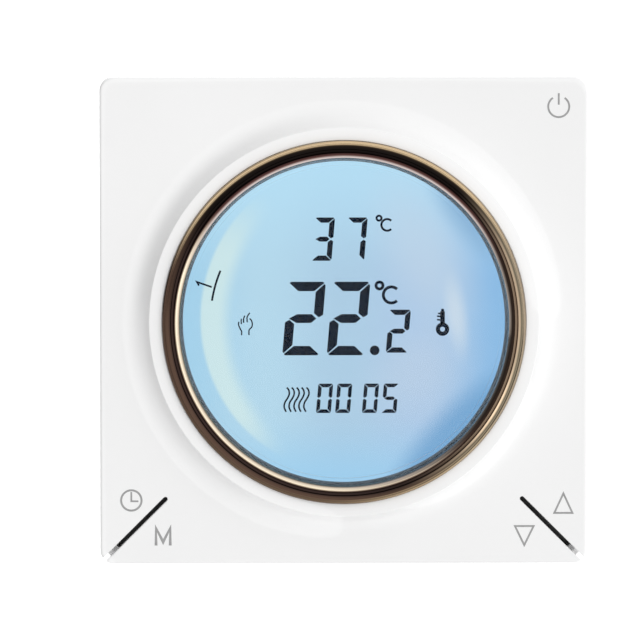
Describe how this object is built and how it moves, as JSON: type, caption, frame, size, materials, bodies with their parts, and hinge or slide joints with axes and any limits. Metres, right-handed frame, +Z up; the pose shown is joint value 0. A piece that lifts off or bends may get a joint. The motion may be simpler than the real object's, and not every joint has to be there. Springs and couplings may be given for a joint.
{
  "type": "wall thermostat",
  "caption": "Square wall thermostat with a raised round collar, metal-look ring, domed lit display, corner keys cut by slits, and a rear case with screw terminals.",
  "frame": {"origin": "middle of the mounting plate's back face, midway between the two wall screw slots", "axes": "-Y out of the wall towards the person using it, +Z up the wall, +X to the right as seen from the front"},
  "size_m": [0.086, 0.0444, 0.086],
  "materials": {
    "gloss_white": "polished white ABS",
    "frame_white": "fine matt white ABS",
    "ring_metal": "polished champagne plating",
    "lens_clear": "polished clear acrylic",
    "dark_rubber": "matt",
    "display_glass": "polished",
    "polarizer": "satin film",
    "light_sheet": "diffusing film",
    "guide_acrylic": "polished acrylic",
    "reflector_foil": "bright foil",
    "led_white": "moulded",
    "strip_rubber": "layered rubber",
    "board_green": "solder mask",
    "board_black": "solder mask",
    "chip_black": "moulded",
    "can_metal": "drawn",
    "switch_grey": "moulded",
    "pin_plastic": "moulded",
    "steel_screw": "zinc plated",
    "plate_steel": "galvanised",
    "case_white": "fine spark texture",
    "relay_blue": "moulded",
    "winding": "taped coil",
    "can_navy": "sleeved can",
    "cap_red": "dipped",
    "disc_blue": "dipped",
    "fuse_brown": "moulded",
    "block_green": "nylon",
    "brass": "stamped",
    "label_paper": "satin paper"
  },
  "bodies": {
    "wall_unit": {"mounting_plate": "plate_steel", "rear_case": "case_white", "case_lid": "case_white", "power_board": "board_green", "relay": "relay_blue", "transformer": "winding", "smoothing_capacitor": "can_navy", "film_capacitor": "cap_red", "varistor": "disc_blue", "fuse": "fuse_brown", "header_socket": "pin_plastic", "terminal_block": "block_green", "terminal_contacts": "brass", "case_screws": "steel_screw", "label_plate": "label_paper"},
    "front_unit": {"front_cover": "gloss_white", "panel_frame": "frame_white", "bezel_ring": "ring_metal", "lens": "lens_clear", "lens_gasket": "dark_rubber", "front_polarizer": "polarizer", "lcd_front_glass": "display_glass", "lcd_rear_glass": "display_glass", "diffuser_sheet": "light_sheet", "light_guide": "guide_acrylic", "reflector_sheet": "reflector_foil", "lcd_holder": "frame_white", "backlight_leds": "led_white", "contact_strip": "strip_rubber", "display_board": "board_black", "controller_chip": "chip_black", "clock_crystal": "can_metal", "backup_cell": "can_metal", "air_sensor": "chip_black", "tact_switches": "switch_grey", "header_pins": "pin_plastic", "board_screws": "steel_screw"},
    "power_key": {"key_power": "gloss_white"},
    "power_plunger": {"plunger_power": "chip_black"},
    "clock_key": {"key_clock": "gloss_white"},
    "clock_plunger": {"plunger_clock": "chip_black"},
    "menu_key": {"key_menu": "gloss_white"},
    "menu_plunger": {"plunger_menu": "chip_black"},
    "down_key": {"key_down": "gloss_white"},
    "down_plunger": {"plunger_down": "chip_black"},
    "up_key": {"key_up": "gloss_white"},
    "up_plunger": {"plunger_up": "chip_black"},
    "clamp_1": {"clamp_plate_1": "steel_screw"},
    "screw_1": {"terminal_screw_1": "steel_screw"},
    "clamp_2": {"clamp_plate_2": "steel_screw"},
    "screw_2": {"terminal_screw_2": "steel_screw"},
    "clamp_3": {"clamp_plate_3": "steel_screw"},
    "screw_3": {"terminal_screw_3": "steel_screw"},
    "clamp_4": {"clamp_plate_4": "steel_screw"},
    "screw_4": {"terminal_screw_4": "steel_screw"},
    "clamp_5": {"clamp_plate_5": "steel_screw"},
    "screw_5": {"terminal_screw_5": "steel_screw"},
    "clamp_6": {"clamp_plate_6": "steel_screw"},
    "screw_6": {"terminal_screw_6": "steel_screw"}
  },
  "joints": [
    {"name": "front_unit_pull", "type": "slide", "parent": "wall_unit", "child": "front_unit", "axis": [0, -1, 0], "range_m": [0, 0.04]},
    {"name": "power_key_press", "type": "hinge", "parent": "front_unit", "child": "power_key", "pos_m": [0.0335, -0.0102, 0.0335], "axis": [-0.7071, 0, 0.7071], "range_deg": [0, 2.6], "stiffness_Nm_per_rad": 0.16},
    {"name": "power_plunger_travel", "type": "slide", "parent": "front_unit", "child": "power_plunger", "axis": [0, 1, 0], "range_m": [0, 0.00026]},
    {"name": "clock_key_press", "type": "hinge", "parent": "front_unit", "child": "clock_key", "pos_m": [-0.03725, -0.0102, -0.02725], "axis": [0.8042, 0, -0.5944], "range_deg": [0, 2.64], "stiffness_Nm_per_rad": 0.16},
    {"name": "clock_plunger_travel", "type": "slide", "parent": "front_unit", "child": "clock_plunger", "axis": [0, 1, 0], "range_m": [0, 0.00026]},
    {"name": "menu_key_press", "type": "hinge", "parent": "front_unit", "child": "menu_key", "pos_m": [-0.02725, -0.0102, -0.03725], "axis": [0.5944, 0, -0.8042], "range_deg": [0, 2.64], "stiffness_Nm_per_rad": 0.16},
    {"name": "menu_plunger_travel", "type": "slide", "parent": "front_unit", "child": "menu_plunger", "axis": [0, 1, 0], "range_m": [0, 0.00026]},
    {"name": "down_key_press", "type": "hinge", "parent": "front_unit", "child": "down_key", "pos_m": [0.02725, -0.0102, -0.03725], "axis": [0.5944, 0, 0.8042], "range_deg": [0, 2.64], "stiffness_Nm_per_rad": 0.16},
    {"name": "down_plunger_travel", "type": "slide", "parent": "front_unit", "child": "down_plunger", "axis": [0, 1, 0], "range_m": [0, 0.00026]},
    {"name": "up_key_press", "type": "hinge", "parent": "front_unit", "child": "up_key", "pos_m": [0.03725, -0.0102, -0.02725], "axis": [0.8042, 0, 0.5944], "range_deg": [0, 2.64], "stiffness_Nm_per_rad": 0.16},
    {"name": "up_plunger_travel", "type": "slide", "parent": "front_unit", "child": "up_plunger", "axis": [0, 1, 0], "range_m": [0, 0.00026]},
    {"name": "clamp_1_open", "type": "slide", "parent": "wall_unit", "child": "clamp_1", "axis": [0, 1, 0], "range_m": [0, 0.002]},
    {"name": "screw_1_turn", "type": "hinge", "parent": "clamp_1", "child": "screw_1", "pos_m": [-0.01905, 0.02, -0.0184], "axis": [0, 1, 0], "range_deg": [0, 1440]},
    {"name": "clamp_2_open", "type": "slide", "parent": "wall_unit", "child": "clamp_2", "axis": [0, 1, 0], "range_m": [0, 0.002]},
    {"name": "screw_2_turn", "type": "hinge", "parent": "clamp_2", "child": "screw_2", "pos_m": [-0.01143, 0.02, -0.0184], "axis": [0, 1, 0], "range_deg": [0, 1440]},
    {"name": "clamp_3_open", "type": "slide", "parent": "wall_unit", "child": "clamp_3", "axis": [0, 1, 0], "range_m": [0, 0.002]},
    {"name": "screw_3_turn", "type": "hinge", "parent": "clamp_3", "child": "screw_3", "pos_m": [-0.00381, 0.02, -0.0184], "axis": [0, 1, 0], "range_deg": [0, 1440]},
    {"name": "clamp_4_open", "type": "slide", "parent": "wall_unit", "child": "clamp_4", "axis": [0, 1, 0], "range_m": [0, 0.002]},
    {"name": "screw_4_turn", "type": "hinge", "parent": "clamp_4", "child": "screw_4", "pos_m": [0.00381, 0.02, -0.0184], "axis": [0, 1, 0], "range_deg": [0, 1440]},
    {"name": "clamp_5_open", "type": "slide", "parent": "wall_unit", "child": "clamp_5", "axis": [0, 1, 0], "range_m": [0, 0.002]},
    {"name": "screw_5_turn", "type": "hinge", "parent": "clamp_5", "child": "screw_5", "pos_m": [0.01143, 0.02, -0.0184], "axis": [0, 1, 0], "range_deg": [0, 1440]},
    {"name": "clamp_6_open", "type": "slide", "parent": "wall_unit", "child": "clamp_6", "axis": [0, 1, 0], "range_m": [0, 0.002]},
    {"name": "screw_6_turn", "type": "hinge", "parent": "clamp_6", "child": "screw_6", "pos_m": [0.01905, 0.02, -0.0184], "axis": [0, 1, 0], "range_deg": [0, 1440]}
  ],
  "couplings": [
    {"joint": "power_plunger_travel", "follows": "power_key_press", "m_per_rad": 0.0055154},
    {"joint": "clock_plunger_travel", "follows": "clock_key_press", "m_per_rad": 0.0054334},
    {"joint": "menu_plunger_travel", "follows": "menu_key_press", "m_per_rad": 0.0054334},
    {"joint": "down_plunger_travel", "follows": "down_key_press", "m_per_rad": 0.0054334},
    {"joint": "up_plunger_travel", "follows": "up_key_press", "m_per_rad": 0.0054334},
    {"joint": "screw_1_turn", "follows": "clamp_1_open", "rad_per_m": 12566},
    {"joint": "screw_2_turn", "follows": "clamp_2_open", "rad_per_m": 12566},
    {"joint": "screw_3_turn", "follows": "clamp_3_open", "rad_per_m": 12566},
    {"joint": "screw_4_turn", "follows": "clamp_4_open", "rad_per_m": 12566},
    {"joint": "screw_5_turn", "follows": "clamp_5_open", "rad_per_m": 12566},
    {"joint": "screw_6_turn", "follows": "clamp_6_open", "rad_per_m": 12566}
  ]
}
